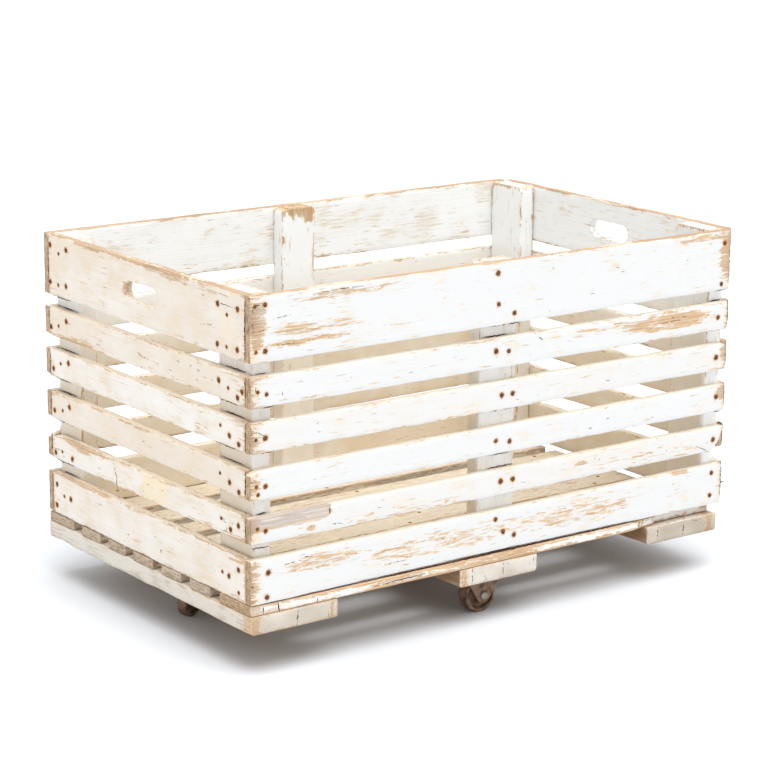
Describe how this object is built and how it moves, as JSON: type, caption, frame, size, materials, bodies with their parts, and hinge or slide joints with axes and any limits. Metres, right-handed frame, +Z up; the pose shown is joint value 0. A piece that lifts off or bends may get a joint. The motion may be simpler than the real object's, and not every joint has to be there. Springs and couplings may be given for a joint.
{
  "type": "slatted mill cart",
  "caption": "Open-topped slatted timber box cart with hand slots in its ends, rolling on rigid side casters and swivel end casters.",
  "frame": {"origin": "on the floor, under the middle of the bounding box", "axes": "+X along the cart's length, towards the end whose boards stand past the long sides; -Y is the long side in the picture; +Z up"},
  "size_m": [1.217, 0.765, 0.736],
  "materials": {
    "painted_boards": "white paint, chipped and worn to the pine",
    "floor_boards": "worn white paint on pine, bare and greyed on the edges",
    "bearers": "worn white paint on sawn pine with checked ends",
    "caster_iron": "dark rust",
    "pin_steel": "worn bright"
  },
  "bodies": {
    "cart_box": {"long_board_front_1": "painted_boards", "long_board_front_2": "painted_boards", "long_board_front_3": "painted_boards", "long_board_front_4": "painted_boards", "long_board_front_5": "painted_boards", "long_board_front_6": "painted_boards", "long_board_back_1": "painted_boards", "long_board_back_2": "painted_boards", "long_board_back_3": "painted_boards", "long_board_back_4": "painted_boards", "long_board_back_5": "painted_boards", "long_board_back_6": "painted_boards", "end_board_left_1": "painted_boards", "end_board_left_2": "painted_boards", "end_board_left_3": "painted_boards", "end_board_left_4": "painted_boards", "end_board_left_5": "painted_boards", "end_board_left_6": "painted_boards", "end_board_right_1": "painted_boards", "end_board_right_2": "painted_boards", "end_board_right_3": "painted_boards", "end_board_right_4": "painted_boards", "end_board_right_5": "painted_boards", "end_board_right_6": "painted_boards", "corner_post_front_left": "painted_boards", "corner_post_back_left": "painted_boards", "corner_post_front_right": "painted_boards", "corner_post_back_right": "painted_boards", "mid_post_front": "painted_boards", "mid_post_back": "painted_boards", "floor_board_1": "floor_boards", "floor_board_2": "floor_boards", "floor_board_3": "floor_boards", "floor_board_4": "floor_boards", "floor_board_5": "floor_boards", "floor_board_6": "floor_boards", "floor_board_7": "floor_boards", "bearer_left": "bearers", "bearer_middle": "bearers", "bearer_right": "bearers", "rigid_caster_front_bracket": "caster_iron", "rigid_caster_front_axle": "pin_steel", "rigid_caster_back_bracket": "caster_iron", "rigid_caster_back_axle": "pin_steel", "swivel_caster_left_top_plate": "caster_iron", "swivel_caster_left_kingpin": "pin_steel", "swivel_caster_right_top_plate": "caster_iron", "swivel_caster_right_kingpin": "pin_steel"},
    "front_wheel": {"rigid_caster_front_wheel": "caster_iron"},
    "back_wheel": {"rigid_caster_back_wheel": "caster_iron"},
    "left_fork": {"swivel_caster_left_fork": "caster_iron", "swivel_caster_left_axle": "pin_steel"},
    "left_wheel": {"swivel_caster_left_wheel": "caster_iron"},
    "right_fork": {"swivel_caster_right_fork": "caster_iron", "swivel_caster_right_axle": "pin_steel"},
    "right_wheel": {"swivel_caster_right_wheel": "caster_iron"}
  },
  "joints": [
    {"name": "front_wheel_spin", "type": "hinge", "parent": "cart_box", "child": "front_wheel", "pos_m": [-0.013, -0.3115, 0.0375], "axis": [0, 1, 0], "continuous": true},
    {"name": "back_wheel_spin", "type": "hinge", "parent": "cart_box", "child": "back_wheel", "pos_m": [-0.013, 0.3115, 0.0375], "axis": [0, 1, 0], "continuous": true},
    {"name": "left_swivel", "type": "hinge", "parent": "cart_box", "child": "left_fork", "pos_m": [-0.4915, 0, 0.075], "axis": [0, 0, 1], "continuous": true},
    {"name": "left_wheel_spin", "type": "hinge", "parent": "left_fork", "child": "left_wheel", "pos_m": [-0.50819, -0.00674, 0.03], "axis": [-0.3746, 0.9272, 0], "continuous": true},
    {"name": "right_swivel", "type": "hinge", "parent": "cart_box", "child": "right_fork", "pos_m": [0.4655, 0, 0.075], "axis": [0, 0, 1], "continuous": true},
    {"name": "right_wheel_spin", "type": "hinge", "parent": "right_fork", "child": "right_wheel", "pos_m": [0.48207, -0.00703, 0.03], "axis": [-0.3907, -0.9205, 0], "continuous": true}
  ]
}
